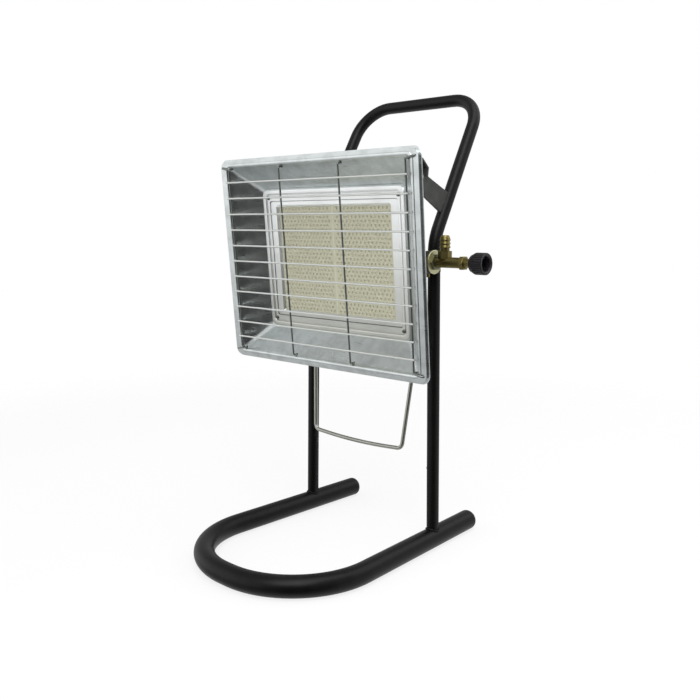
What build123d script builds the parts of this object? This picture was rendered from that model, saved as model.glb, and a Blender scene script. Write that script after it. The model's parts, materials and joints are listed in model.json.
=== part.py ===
from build123d import *
import os
from math import cos, radians, sin, tan

# Portable propane heater: a radiant gas heater head with a wire guard, tilting on a bent
# tube stand. Millimetres. The frame stands on the floor, +Z up, the heater faces -Y.
# Distances below are told from the heater's centre plane, from the uprights' axis and
# from the floor, or, for the head, from its own tilted front plane.

os.makedirs("parts", exist_ok=True)

# ---------------------------------------------------------------- clearances
weld_gap = 0.1  # coped tube ends and butted plates
run_gap = 0.06  # turning and sliding pins in their bores
seat_gap = 0.3  # dropped-in pieces
thread_gap = 0.05  # screwed pieces
hairline = 0.01  # keeps a full round from closing its flat

# ---------------------------------------------------------------- base tube
base_r = 12.6
base_wall = 1.5
base_front_y = 242.0
base_rear_y = 79.0
base_toe = 0.037
base_bend_r = 104.0
plug_head = 8.0
plug_spigot = 14.0
plug_round = 7.0

# ---------------------------------------------------------------- uprights and handle
post_r = 7.57
post_wall = 1.2
post_splay = 5.5
post_bend_z = 380.7
post_bend_r = 58.0
lean_deg = 30.0
lean_length = 202.2
handle_narrow = 4.2
handle_bend_r = 43.0

# ---------------------------------------------------------------- head
tilt_deg = 5.0
head_y = -97.0
head_z = 352.7
sheet = 0.8
rim_lip = 2.3
rim_r = 11.0
band_width = (12.0, 8.5)
band_r = 9.0
wall_spread = (29.85, 28.5)
mouth_r = 4.0
band_front = 3.0
bend_r = 3.0
throat_depth = 29.0
throat_r = 8.5
wall_thick = 1.13

frame_gap = 0.35
frame_border = (11.5, 14.3)
bead_width = 6.8
bead_height = 2.4
bead_round = 2.2
groove_width = 1.5
panel_height = 0.8
frame_plate = 1.0
window_r = 3.0
screw_inset = (1.3, 3.7)
screw_r = 1.25
screw_head_r = 2.2
screw_head = 1.3
screw_round = 0.8
screw_length = 7.8

bezel_gap = 0.9
bezel_thick = 3.0
bezel_border = (12.85, 7.75)
bezel_over = 0.45
bezel_lip_r = 1.0
bezel_slope = 2.5
plaque_half = (91.9, 66.0)
plaque_thick = 12.0
plaque_seam = 0.4
joint_gasket = 1.4
flange_border = (5.7, 8.7)
flange_thick = 1.0
box_wall = 1.2
box_back_depth = 72.0
box_round = 5.0
box_back_round = 2.5
ledge_width = 5.8
ledge_r = 1.0
side_gasket = 1.6
side_gasket_r = 0.25

# ---------------------------------------------------------------- guard
wire_r = 1.1
wire_touch = 0.05
rail_count = 11
rail_pitch = 19.8
wire_inset = 4.0
wire_slip = (0.0, -1.3, 0.0, 0.0)
wire_lean = (0.0, -1.5, -1.1, 0.0)
hook_inset = 1.5
hook_bend = 1.8
hook_tip = 5.0
hook_hole = 0.3

# ---------------------------------------------------------------- tilt pivot and straps
pivot_y = -41.0
pivot_z = 452.7
bolt_r = 4.0
bolt_head = 4.0
bolt_head_flats = 13.0
lug_thick = 2.5
lug_eye_r = 12.0
lug_width = 20.0
lug_rear_inset = 6.0
lug_low_v = 26.0
lug_front_inset = 9.0
washer_thick = 0.6
washer_r = 9.0
strap_thick = 3.0
strap_width = 27.8
strap_fall_deg = 23.5
strap_meet = (23.05, 422.35)
ear_step = (-22.0, 456.6)
ear_rear = (-21.3, 463.7)
ear_top = (-33.0, 474.0)
ear_front_y = -58.0
ear_front_z = 438.0
ear_low = (-23.0, 431.5)
ear_lip = 5.0
ear_lip_low = (-22.4, 453.4)
ear_lip_thick = 2.0
nut_flats = 13.0
nut_thick = 6.5
bolt_proud = 2.0

# ---------------------------------------------------------------- bail
bail_r = 2.5
bail_standoff = 11.57
bail_eye_inset = (5.5, 8.8)
bail_eye_bend = 4.0
bail_pin = 11.4
bail_drop = (-16.5, -173.8)
bail_narrow = 15.6
bail_bar_bend = 8.0
bail_bow = 5.0
bail_bow_r = 800.0
bail_lug_inset = 12.9
bail_lug_thick = 2.0
bail_lug_r = 5.5
bail_lug_shoulder_deg = 62.5
bail_foot = (14.0, 22.0)
bail_foot_drop = 2.0
bail_foot_thick = 1.5

# ---------------------------------------------------------------- mixing tube, injector
mixer_depth = 54.0
mixer_r = 9.5
mixer_wall = 1.0
mixer_far_x = -60.0
mixer_mouth_out = 8.1
mixer_flare = 3.5
mixer_flare_length = 6.0
mixer_flare_turn = (0.3, 1.0)
yoke_web_out = 17.1
yoke_thick = 1.5
yoke_half = 17.0
yoke_foot = 6.0
yoke_width = 11.0
jet_neck_r = 3.9
jet_shoulder_r = 5.0
jet_tip_r = 2.0
jet_nose = 6.0
jet_nose_wall = 1.0
jet_flats = 9.0
jet_hex = 4.0
jet_tail_r = 3.4
jet_tail = 1.5
jet_bore_r = 1.2

# ---------------------------------------------------------------- valve
# Told along the valve's axis from the mounting plate's inner face.
valve_y = -14.0
valve_z = 355.8
plate_thick = 2.0
plate_size = (28.0, 26.5)
plate_r = 2.0
flange_r = 14.0
flange_t = 2.0
flange_edge = 0.5
ring_flats = 17.5
ring_thick = 3.0
body_r = 6.2
body_end = 41.2
body_edge = 0.5
tail_r = 4.6
tail_end = -3.2
locknut_flats = 12.6
locknut_thick = 3.0
collar_flats = 14.8
collar_end = 46.2
collar_edge = 0.8
bushing_r = 5.2
bushing_end = 55.1
stem_r = 3.5
stem_in = 31.2
stem_edge = 0.6
bore_in = 26.2
gallery_r = 2.2
elbow_at = -7.0
elbow_r = 3.75
elbow_top = 3.9
elbow_drop = 18.0
elbow_thread_r = 3.2
elbow_thread = 6.0

knob_in = 56.1
knob_out = 74.6
knob_r = 12.45
knob_small_r = 9.8
knob_taper = 5.5
knob_recess_r = 7.0
knob_recess = 4.2
knob_hole_r = 8.7
knob_hole = 12.0
knob_edge = 0.8
knob_dish = 1.3
knurl_count = 30
knurl_size = 0.85

inlet_at = 17.6
inlet_flats = 14.0
inlet_hex_rise = 3.8
inlet_hex = 9.4
inlet_neck_r = 5.3
inlet_neck = 3.4
barb_count = 3
barb_pitch = 4.2
barb_r = 6.3
barb_land = 1.0
inlet_tip = 2.0
inlet_tip_r = 4.3
inlet_bore_r = 2.5


def grown(half, by):
    """A half size grown by the same amount both ways."""
    return (half[0] + by, half[1] + by)


def spread(half, by):
    """A half size grown by a different amount each way."""
    return (half[0] + by[0], half[1] + by[1])


# ---------------------------------------------------------------- fits across the head
# From the plaques outward: gasket and box behind, bezel, frame and reflector in front.
gasket_in = grown(plaque_half, weld_gap)
gasket_out = grown(gasket_in, side_gasket)
box_inner = grown(gasket_out, weld_gap)
box_half = grown(box_inner, box_wall)
bezel_lip_half = grown(plaque_half, -bezel_over)
window_half = spread(bezel_lip_half, bezel_border)
bezel_half = grown(window_half, -bezel_gap)
flange_half = spread(window_half, flange_border)
screw_x, screw_y = spread(window_half, screw_inset)
frame_half = spread(window_half, frame_border)
throat_half = grown(frame_half, frame_gap)
mouth_half = spread(throat_half, wall_spread)
band_half = spread(mouth_half, band_width)
rim_half = grown(band_half, rim_lip)
gasket_depth = throat_depth + sheet + joint_gasket

# The ears hold the box's lugs between them, and the uprights stand in the ears' plane.
lug_out_x = box_half[0] + lug_thick
strap_in_x = lug_out_x + washer_thick
strap_out_x = strap_in_x + strap_thick
post_bend_x = strap_in_x + strap_thick / 2
post_foot_x = post_bend_x + post_splay
handle_half = post_bend_x - handle_narrow
base_leg_x = post_foot_x

# The valve's plate lies against the right upright, clear of it at its lower edge.
plate_low_z = valve_z - plate_size[1] / 2
plate_splay = post_splay * (post_bend_z - plate_low_z) / (post_bend_z - base_r)
plate_x = post_bend_x + plate_splay + post_r + weld_gap

# ---------------------------------------------------------------- datum planes
lean = radians(lean_deg)
tilt = radians(tilt_deg)
handle_y = lean_length * sin(lean)
handle_z = post_bend_z + lean_length * cos(lean)

# The origin is the middle of the heater's outline on the floor: the outline runs from
# the rim's left edge to the knob's face, and from the base's front to the handle's back.
mid_x = (rim_half[0] - plate_x - knob_out) / 2
post_y = (base_front_y + base_r - handle_y - post_r) / 2

STAND = Plane(origin=(mid_x, post_y, 0))
SIDE = Plane(origin=(mid_x, post_y, 0), x_dir=(0, 1, 0), z_dir=(1, 0, 0))
HEAD = Plane(
    origin=(mid_x, post_y + head_y, head_z),
    x_dir=(1, 0, 0),
    z_dir=(0, -cos(tilt), -sin(tilt)),
)
HEAD_SIDE = Plane(origin=HEAD.origin, x_dir=(0, cos(tilt), sin(tilt)), z_dir=(1, 0, 0))
VALVE = Plane(
    origin=(mid_x + plate_x, post_y + valve_y, valve_z), x_dir=(0, 1, 0), z_dir=(1, 0, 0)
)
VALVE_FLOOR = Plane(origin=(mid_x + plate_x, post_y + valve_y, 0))
VALVE_SECTION = Plane(origin=VALVE.origin, x_dir=(1, 0, 0), z_dir=(0, -1, 0))
VALVE_AXIS = Axis(VALVE.origin, VALVE.z_dir)


def behind(depth):
    """The head's plane that lies this deep behind its front plane."""
    return HEAD.offset(-depth)


def save(builder, node):
    """Writes one sub-part under its node's name."""
    builder.part.label = node
    export_step(builder.part, f"parts/{node}.step")


def ring(plane, outer, outer_r, inner, inner_r, amount):
    """A rounded rectangular ring, told by half sizes, standing on the plane."""
    with BuildSketch(plane) as face:
        RectangleRounded(2 * outer[0], 2 * outer[1], outer_r)
        RectangleRounded(2 * inner[0], 2 * inner[1], inner_r, mode=Mode.SUBTRACT)
    extrude(face.sketch, amount=amount)


# ================================================================ stand
# Base: one tube bent to a U that lies on the floor, open to the back.
leg_front_x = base_leg_x + base_toe * base_front_y
leg_rear_x = base_leg_x - base_toe * base_rear_y
with BuildPart() as base_tube:
    with BuildLine(STAND) as base_line:
        FilletPolyline(
            (-leg_rear_x, base_rear_y, base_r),
            (-leg_front_x, -base_front_y, base_r),
            (leg_front_x, -base_front_y, base_r),
            (leg_rear_x, base_rear_y, base_r),
            radius=base_bend_r,
        )
    base_path = base_line.line
    LEFT_END = Plane(origin=base_path @ 0, z_dir=(base_path % 0) * -1)
    RIGHT_END = Plane(origin=base_path @ 1, z_dir=base_path % 1)
    with BuildSketch(LEFT_END):
        Circle(base_r)
        Circle(base_r - base_wall, mode=Mode.SUBTRACT)
    sweep(path=base_path)
save(base_tube, "base_tube")

# Plugs: domed plastic caps pushed into the two rear ends of the base.
for side_name, END in (("left", LEFT_END), ("right", RIGHT_END)):
    with BuildPart() as base_plug:
        with BuildSketch(END):
            Circle(base_r)
        extrude(amount=plug_head)
        fillet(base_plug.faces().sort_by(Axis(END.origin, END.z_dir))[-1].edges(), plug_round)
        with BuildSketch(END):
            Circle(base_r - base_wall - run_gap)
        extrude(amount=-plug_spigot)
    save(base_plug, f"base_plug_{side_name}")

# Uprights and carrying handle: one tube bent four times, its feet coped to the base.
with BuildPart() as handle_frame:
    with BuildLine(STAND) as handle_line:
        FilletPolyline(
            (-post_foot_x, 0, base_r),
            (-post_bend_x, 0, post_bend_z),
            (-handle_half, handle_y, handle_z),
            (handle_half, handle_y, handle_z),
            (post_bend_x, 0, post_bend_z),
            (post_foot_x, 0, base_r),
            radius=(post_bend_r, handle_bend_r, handle_bend_r, post_bend_r),
        )
    handle_path = handle_line.line
    with BuildSketch(Plane(origin=handle_path @ 0, z_dir=handle_path % 0)):
        Circle(post_r)
        Circle(post_r - post_wall, mode=Mode.SUBTRACT)
    sweep(path=handle_path)
    with BuildSketch(LEFT_END):
        Circle(base_r + weld_gap)
    sweep(path=base_path, mode=Mode.SUBTRACT)
save(handle_frame, "handle_frame")

# Straps: flat plates butted to the leaning tube, widened in front to an ear that takes
# the tilt bolt, its rear edge folded outward to a lip.
strap_fall = radians(strap_fall_deg)
rear_up = (
    strap_meet[0] + sin(strap_fall) * strap_width / 2,
    strap_meet[1] + cos(strap_fall) * strap_width / 2,
)
rear_low = (
    strap_meet[0] - sin(strap_fall) * strap_width / 2,
    strap_meet[1] - cos(strap_fall) * strap_width / 2,
)
for side_name, side in (("left", -1), ("right", 1)):
    lean_start = Vector(side * post_bend_x, 0, post_bend_z)
    lean_stop = Vector(side * handle_half, handle_y, handle_z)
    with BuildPart() as strap:
        with BuildSketch(SIDE.offset(side * post_bend_x)):
            Polygon(
                rear_low,
                rear_up,
                ear_step,
                ear_rear,
                ear_top,
                (ear_front_y, ear_top[1]),
                (ear_front_y, ear_front_z),
                ear_low,
                align=None,
            )
            with Locations((pivot_y, pivot_z)):
                Circle(bolt_r + run_gap, mode=Mode.SUBTRACT)
        extrude(amount=strap_thick / 2, both=True)
        with BuildSketch(SIDE.offset(side * strap_out_x)):
            with BuildLine():
                Polyline(ear_lip_low, ear_rear, ear_top)
                offset(amount=-ear_lip_thick, side=Side.LEFT)
            make_face()
        extrude(amount=side * ear_lip)
        with BuildSketch(Plane(origin=STAND.from_local_coords(lean_start), z_dir=lean_stop - lean_start)):
            Circle(post_r + weld_gap)
        extrude(amount=lean_length, mode=Mode.SUBTRACT)
    save(strap, f"strap_{side_name}")

# ================================================================ valve
# Mounting plate welded to the outside of the right upright.
with BuildPart() as valve_plate:
    with BuildSketch(VALVE):
        RectangleRounded(*plate_size, plate_r)
        Circle(tail_r + run_gap, mode=Mode.SUBTRACT)
    extrude(amount=plate_thick)
save(valve_plate, "valve_plate")

ring_at = plate_thick + flange_t
with BuildPart() as valve_flange:
    with BuildSketch(VALVE.offset(plate_thick)):
        Circle(flange_r)
        Circle(tail_r + run_gap, mode=Mode.SUBTRACT)
    extrude(amount=flange_t)
    chamfer(valve_flange.faces().sort_by(VALVE_AXIS)[-1].edges().sort_by(SortBy.LENGTH)[-1], flange_edge)
save(valve_flange, "valve_flange")

# Body: tail through the plate, barrel outside it, gallery and stem bore inside.
with BuildPart() as valve_body:
    with BuildSketch(VALVE.offset(tail_end)):
        Circle(tail_r)
    extrude(amount=ring_at - tail_end)
    with BuildSketch(VALVE.offset(ring_at)):
        Circle(body_r)
    extrude(amount=body_end - ring_at)
    chamfer(valve_body.faces().sort_by(VALVE_AXIS)[-1].edges(), body_edge)
    with BuildSketch(VALVE.offset(tail_end)):
        Circle(gallery_r)
    extrude(amount=bore_in - tail_end, mode=Mode.SUBTRACT)
    with BuildSketch(VALVE.offset(bore_in)):
        Circle(stem_r + run_gap)
    extrude(amount=body_end - bore_in, mode=Mode.SUBTRACT)
    with BuildSketch(VALVE_FLOOR.offset(valve_z)):
        with Locations((inlet_at, 0)):
            Circle(inlet_bore_r)
    extrude(amount=body_r, mode=Mode.SUBTRACT)
save(valve_body, "valve_body")

with BuildPart() as valve_nut:
    with BuildSketch(VALVE.offset(ring_at)):
        RegularPolygon(ring_flats / 2, 6, major_radius=False)
        Circle(body_r + thread_gap, mode=Mode.SUBTRACT)
    extrude(amount=ring_thick)
save(valve_nut, "valve_nut")

with BuildPart() as valve_locknut:
    with BuildSketch(VALVE):
        RegularPolygon(locknut_flats / 2, 6, major_radius=False)
        Circle(tail_r + thread_gap, mode=Mode.SUBTRACT)
    extrude(amount=-locknut_thick)
save(valve_locknut, "valve_locknut")

with BuildPart() as valve_collar:
    with BuildSketch(VALVE.offset(body_end)):
        RegularPolygon(collar_flats / 2, 6, major_radius=False)
        Circle(stem_r + run_gap, mode=Mode.SUBTRACT)
    extrude(amount=collar_end - body_end)
    chamfer(valve_collar.faces().sort_by(VALVE_AXIS)[-1].outer_wire().edges(), collar_edge)
    with BuildSketch(VALVE.offset(collar_end)):
        Circle(bushing_r)
        Circle(stem_r + run_gap, mode=Mode.SUBTRACT)
    extrude(amount=bushing_end - collar_end)
save(valve_collar, "valve_collar")

# Outlet: an elbow on the tail, turned down, for the feed line's nut.
with BuildPart() as outlet_elbow:
    with BuildSketch(VALVE_FLOOR.offset(valve_z - elbow_drop)):
        with Locations((elbow_at, 0)):
            Circle(elbow_thread_r)
    extrude(amount=elbow_thread)
    with BuildSketch(VALVE_FLOOR.offset(valve_z - elbow_drop + elbow_thread)):
        with Locations((elbow_at, 0)):
            Circle(elbow_r)
    extrude(amount=elbow_drop - elbow_thread + elbow_top)
    with BuildSketch(VALVE.offset(elbow_at)):
        Circle(elbow_r)
    extrude(amount=tail_end - elbow_at)
    with BuildSketch(VALVE_FLOOR.offset(valve_z - elbow_drop)):
        with Locations((elbow_at, 0)):
            Circle(gallery_r)
    extrude(amount=elbow_drop, mode=Mode.SUBTRACT)
    with BuildSketch(VALVE.offset(elbow_at)):
        Circle(gallery_r)
    extrude(amount=tail_end - elbow_at, mode=Mode.SUBTRACT)
save(outlet_elbow, "outlet_elbow")

# Inlet: a hex foot on top of the barrel and a barbed nipple for the gas hose.
INLET_SECTION = Plane(
    origin=VALVE_FLOOR.from_local_coords((inlet_at, 0, 0)), x_dir=(1, 0, 0), z_dir=(0, -1, 0)
)
INLET_AXIS = Axis(INLET_SECTION.origin, (0, 0, 1))
inlet_hex_low = valve_z + inlet_hex_rise
inlet_hex_top = inlet_hex_low + inlet_hex
neck_top = inlet_hex_top + inlet_neck
barbs_top = neck_top + barb_count * barb_pitch
with BuildPart() as inlet_barb:
    with BuildSketch(VALVE_FLOOR.offset(inlet_hex_low)):
        with Locations((inlet_at, 0)):
            RegularPolygon(inlet_flats / 2, 6, major_radius=False, rotation=30)
    extrude(amount=inlet_hex)
    with BuildSketch(INLET_SECTION):
        with BuildLine():
            outline = [(0, inlet_hex_top), (inlet_neck_r, inlet_hex_top)]
            for barb in range(barb_count):
                low = neck_top + barb * barb_pitch
                outline += [(inlet_neck_r, low), (barb_r, low), (barb_r, low + barb_land)]
            outline += [(inlet_neck_r, barbs_top), (inlet_tip_r, barbs_top + inlet_tip)]
            outline += [(0, barbs_top + inlet_tip)]
            Polyline(*outline, close=True)
        make_face()
    revolve(axis=INLET_AXIS)
    with BuildSketch(VALVE_FLOOR.offset(valve_z)):
        with Locations((inlet_at, 0)):
            Circle(inlet_bore_r)
    extrude(amount=barbs_top + inlet_tip - valve_z, mode=Mode.SUBTRACT)
    with BuildSketch(VALVE.offset(ring_at)):
        Circle(body_r + thread_gap)
    extrude(amount=body_end - ring_at, mode=Mode.SUBTRACT)
save(inlet_barb, "inlet_barb")

# Knob and stem: pressed in against the safety valve's spring, over the collar.
knob_web = knob_in + knob_recess
knob_web_end = knob_out - knob_hole
with BuildPart() as valve_stem:
    with BuildSketch(VALVE.offset(stem_in)):
        Circle(stem_r)
    extrude(amount=knob_web_end - stem_in)
    chamfer(valve_stem.faces().sort_by(VALVE_AXIS)[0].edges(), stem_edge)
save(valve_stem, "valve_stem")

with BuildPart() as push_knob:
    with BuildSketch(VALVE_SECTION):
        Polygon(
            (knob_in, knob_recess_r),
            (knob_in, knob_small_r),
            (knob_in + knob_taper, knob_r),
            (knob_out - knob_edge, knob_r),
            (knob_out, knob_r - knob_edge),
            (knob_out, knob_hole_r + knob_dish),
            (knob_out - knob_dish, knob_hole_r),
            (knob_web_end, knob_hole_r),
            (knob_web_end, stem_r + thread_gap),
            (knob_web, stem_r + thread_gap),
            (knob_web, knob_recess_r),
            align=None,
        )
    revolve(axis=VALVE_AXIS)
    with BuildSketch(VALVE.offset(knob_in)):
        with PolarLocations(knob_r, knurl_count):
            RegularPolygon(knurl_size, 4)
    extrude(amount=knob_out - knob_in, mode=Mode.SUBTRACT)
save(push_knob, "push_knob")

# ================================================================ head
# Reflector: a sheet trumpet of four slopes from the mouth to the throat, its edge folded
# to a rim with a flat band, a step behind it and a thin outer lip.
throat_outer = grown(throat_half, wall_thick)
mouth_outer = grown(mouth_half, wall_thick)
flat_in = grown(mouth_half, bend_r)
wire_span = 2 * (mouth_half[0] - wire_inset)
hook_v = mouth_half[1] - hook_inset
hook_tops, hook_lows = [], []
for place, (slip, wire_tilt) in enumerate(zip(wire_slip, wire_lean)):
    wire_x = wire_span * (place / (len(wire_slip) - 1) - 0.5) + slip
    hook_tops.append((wire_x + wire_tilt, hook_v))
    hook_lows.append((wire_x - wire_tilt, -hook_v))
with BuildPart() as reflector:
    with BuildSketch(HEAD):
        RectangleRounded(2 * mouth_outer[0], 2 * mouth_outer[1], mouth_r + wall_thick)
    with BuildSketch(behind(throat_depth)):
        RectangleRounded(2 * throat_outer[0], 2 * throat_outer[1], throat_r + wall_thick)
    loft()
    ring(HEAD, band_half, band_r, mouth_half, mouth_r, band_front)
    with BuildSketch(HEAD):
        RectangleRounded(2 * mouth_half[0], 2 * mouth_half[1], mouth_r)
    with BuildSketch(behind(throat_depth)):
        RectangleRounded(2 * throat_half[0], 2 * throat_half[1], throat_r)
    loft(mode=Mode.SUBTRACT)
    front = reflector.faces().sort_by(Axis(HEAD.origin, HEAD.z_dir))[-1]
    fillet(front.inner_wires().edges(), bend_r - hairline)
    ring(behind(sheet), rim_half, rim_r, mouth_outer, mouth_r + wall_thick, sheet)
    with BuildSketch(behind(sheet)):
        RectangleRounded(2 * (band_half[0] - sheet), 2 * (band_half[1] - sheet), band_r - sheet)
        RectangleRounded(2 * flat_in[0], 2 * flat_in[1], mouth_r + bend_r, mode=Mode.SUBTRACT)
    extrude(amount=band_front, mode=Mode.SUBTRACT)
    ring(behind(throat_depth + sheet), throat_outer, throat_r + wall_thick, window_half, window_r, sheet)
    with BuildSketch(behind(throat_depth + sheet)):
        with GridLocations(2 * screw_x, 2 * screw_y, 2, 2):
            Circle(screw_r + seat_gap)
    extrude(amount=sheet, mode=Mode.SUBTRACT)
    with BuildSketch(behind(hook_tip)):
        with Locations(*hook_tops, *hook_lows):
            Circle(wire_r + hook_hole)
    extrude(amount=hook_tip, mode=Mode.SUBTRACT)
save(reflector, "reflector")

# Burner frame: a pressed plate in the throat, beaded outside, screwed through its panel.
frame_inner_bead = (frame_half[0] - bead_width, frame_half[1] - bead_width)
panel_half = grown(frame_inner_bead, -groove_width)
with BuildPart() as burner_frame:
    ring(behind(throat_depth), frame_half, throat_r, window_half, window_r, frame_plate)
    plate_front = throat_depth - frame_plate
    ring(behind(plate_front), frame_half, throat_r, frame_inner_bead, window_r + groove_width, bead_height)
    bead_top = burner_frame.faces().sort_by(Axis(HEAD.origin, HEAD.z_dir))[-1]
    fillet(bead_top.edges(), bead_round)
    ring(behind(plate_front), panel_half, window_r + groove_width, window_half, window_r, panel_height)
    with BuildSketch(behind(throat_depth)):
        with GridLocations(2 * screw_x, 2 * screw_y, 2, 2):
            Circle(screw_r + seat_gap)
    extrude(amount=frame_plate + panel_height, mode=Mode.SUBTRACT)
save(burner_frame, "burner_frame")

# Frame gasket between the reflector's throat flange and the burner box.
with BuildPart() as frame_gasket:
    ring(behind(gasket_depth), flange_half, throat_r, window_half, window_r, joint_gasket)
    with BuildSketch(behind(gasket_depth)):
        with GridLocations(2 * screw_x, 2 * screw_y, 2, 2):
            Circle(screw_r + seat_gap)
    extrude(amount=joint_gasket, mode=Mode.SUBTRACT)
save(frame_gasket, "frame_gasket")

# Bezel: lies on the box's flange round the plaques, its inner edge sloped to them.
with BuildPart() as plaque_bezel:
    ring(behind(gasket_depth), bezel_half, window_r, bezel_lip_half, bezel_lip_r, bezel_thick)
    bezel_front = plaque_bezel.faces().sort_by(Axis(HEAD.origin, HEAD.z_dir))[-1]
    chamfer(bezel_front.inner_wires().edges(), bezel_slope)
save(plaque_bezel, "plaque_bezel")

# Plaques: two ceramic tiles side by side, the gas burns on their front faces.
for side_name, side in (("left", -1), ("right", 1)):
    plaque_width = plaque_half[0] - plaque_seam / 2
    with BuildPart() as plaque:
        with BuildSketch(behind(gasket_depth)):
            with Locations((side * (plaque_seam / 2 + plaque_width / 2), 0)):
                Rectangle(plaque_width, 2 * plaque_half[1])
        extrude(amount=-plaque_thick)
    save(plaque, f"plaque_{side_name}")

with BuildPart() as plaque_gasket:
    ring(behind(gasket_depth), gasket_out, box_round, gasket_in, side_gasket_r, -plaque_thick)
save(plaque_gasket, "plaque_gasket")

# Burner box: flange in front, ledge under the plaques, mixing chamber behind them.
ledge_depth = gasket_depth + plaque_thick
MIXER = Plane(
    origin=HEAD_SIDE.from_local_coords((mixer_depth, 0, 0)),
    x_dir=HEAD_SIDE.x_dir,
    z_dir=(1, 0, 0),
)
with BuildPart() as burner_box:
    with BuildSketch(behind(box_back_depth)):
        RectangleRounded(2 * box_half[0], 2 * box_half[1], box_round + box_wall)
    extrude(amount=box_back_depth - gasket_depth)
    back = burner_box.faces().sort_by(Axis(HEAD.origin, HEAD.z_dir))[0]
    fillet(back.edges(), box_back_round)
    with BuildSketch(behind(gasket_depth + flange_thick)):
        RectangleRounded(2 * flange_half[0], 2 * flange_half[1], throat_r)
    extrude(amount=flange_thick)
    with BuildSketch(behind(box_back_depth - box_wall)):
        RectangleRounded(2 * box_inner[0], 2 * box_inner[1], box_round)
    extrude(amount=box_back_depth - box_wall - gasket_depth, mode=Mode.SUBTRACT)
    ledge_out = grown(box_inner, box_wall / 2)
    ring(behind(ledge_depth), ledge_out, box_round, grown(box_inner, -ledge_width), ledge_r, -flange_thick)
    with BuildSketch(behind(gasket_depth + flange_thick)):
        with GridLocations(2 * screw_x, 2 * screw_y, 2, 2):
            Circle(screw_r + thread_gap)
    extrude(amount=flange_thick, mode=Mode.SUBTRACT)
    with BuildSketch(MIXER.offset(box_inner[0] - box_wall)):
        Circle(mixer_r + weld_gap)
    extrude(amount=3 * box_wall, mode=Mode.SUBTRACT)
save(burner_box, "burner_box")

with BuildPart() as burner_screws:
    head_seat = throat_depth - frame_plate - panel_height
    with BuildSketch(behind(head_seat)):
        with GridLocations(2 * screw_x, 2 * screw_y, 2, 2):
            Circle(screw_head_r)
    extrude(amount=screw_head)
    fillet(burner_screws.faces().group_by(Axis(HEAD.origin, HEAD.z_dir))[-1].edges(), screw_round)
    with BuildSketch(behind(head_seat)):
        with GridLocations(2 * screw_x, 2 * screw_y, 2, 2):
            Circle(screw_r)
    extrude(amount=-screw_length)
save(burner_screws, "burner_screws")

# ---------------------------------------------------------------- guard
# Verticals lie just off the rim's face, their ends hook back through holes in the slopes.
guard_front = band_front + weld_gap + wire_r
with BuildPart() as guard_verticals:
    for hook_top, hook_low in zip(hook_tops, hook_lows):
        with BuildLine(HEAD) as wire_line:
            FilletPolyline(
                (*hook_low, -hook_tip),
                (*hook_low, guard_front),
                (*hook_top, guard_front),
                (*hook_top, -hook_tip),
                radius=hook_bend,
            )
        with BuildSketch(Plane(origin=wire_line.line @ 0, z_dir=wire_line.line % 0)):
            Circle(wire_r)
        sweep(path=wire_line.line)
save(guard_verticals, "guard_verticals")

# Horizontals are welded across in front of the verticals.
rail_front = guard_front + 2 * wire_r + wire_touch
with BuildPart() as guard_horizontals:
    with BuildSketch(HEAD_SIDE.offset(-mouth_half[0])):
        with Locations((-rail_front, 0)):
            with GridLocations(0, rail_pitch, 1, rail_count):
                Circle(wire_r)
    extrude(amount=2 * mouth_half[0])
save(guard_horizontals, "guard_horizontals")

# ---------------------------------------------------------------- tilt pivot
eye = HEAD_SIDE.to_local_coords(Vector(mid_x, post_y + pivot_y, pivot_z))
eye_at = (eye.X, eye.Y)
PIVOT = Plane(origin=(mid_x, post_y + pivot_y, pivot_z), x_dir=(0, 1, 0), z_dir=(1, 0, 0))
lug_rear_depth = box_back_depth - lug_rear_inset
lug_front_depth = lug_rear_depth - lug_width
for side_name, side in (("left", -1), ("right", 1)):
    with BuildPart() as tilt_lug:
        with BuildSketch(HEAD_SIDE.offset(side * box_half[0])) as lug_face:
            with BuildLine():
                Polyline(
                    (lug_front_depth, lug_low_v),
                    (lug_rear_depth, lug_low_v),
                    (eye.X + lug_eye_r, eye.Y),
                    (eye.X - lug_eye_r, eye.Y),
                    (lug_front_depth, box_half[1] - lug_front_inset),
                    close=True,
                )
            make_face()
            with Locations(eye_at):
                Circle(lug_eye_r)
                Circle(bolt_r + run_gap, mode=Mode.SUBTRACT)
        extrude(amount=side * lug_thick)
    save(tilt_lug, f"tilt_lug_{side_name}")

# Bolts turn in the ears with the head; a friction washer lies between lug and ear.
nut_x = strap_out_x + washer_thick
with BuildPart() as tilt_bolts:
    for side in (-1, 1):
        with BuildSketch(PIVOT.offset(side * box_half[0])):
            RegularPolygon(bolt_head_flats / 2, 6, major_radius=False)
        extrude(amount=-side * bolt_head)
        with BuildSketch(PIVOT.offset(side * box_half[0])):
            Circle(bolt_r)
        extrude(amount=side * (nut_x + nut_thick + bolt_proud - box_half[0]))
save(tilt_bolts, "tilt_bolts")

for node, start_x in (("friction_washers", lug_out_x), ("nut_washers", strap_out_x)):
    with BuildPart() as washers:
        for side in (-1, 1):
            with BuildSketch(PIVOT.offset(side * start_x)):
                Circle(washer_r)
                Circle(bolt_r + run_gap, mode=Mode.SUBTRACT)
            extrude(amount=side * washer_thick)
    save(washers, node)

with BuildPart() as tilt_nuts:
    for side in (-1, 1):
        with BuildSketch(PIVOT.offset(side * nut_x)):
            RegularPolygon(nut_flats / 2, 6, major_radius=False)
            Circle(bolt_r + thread_gap, mode=Mode.SUBTRACT)
        extrude(amount=side * nut_thick)
save(tilt_nuts, "tilt_nuts")

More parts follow.
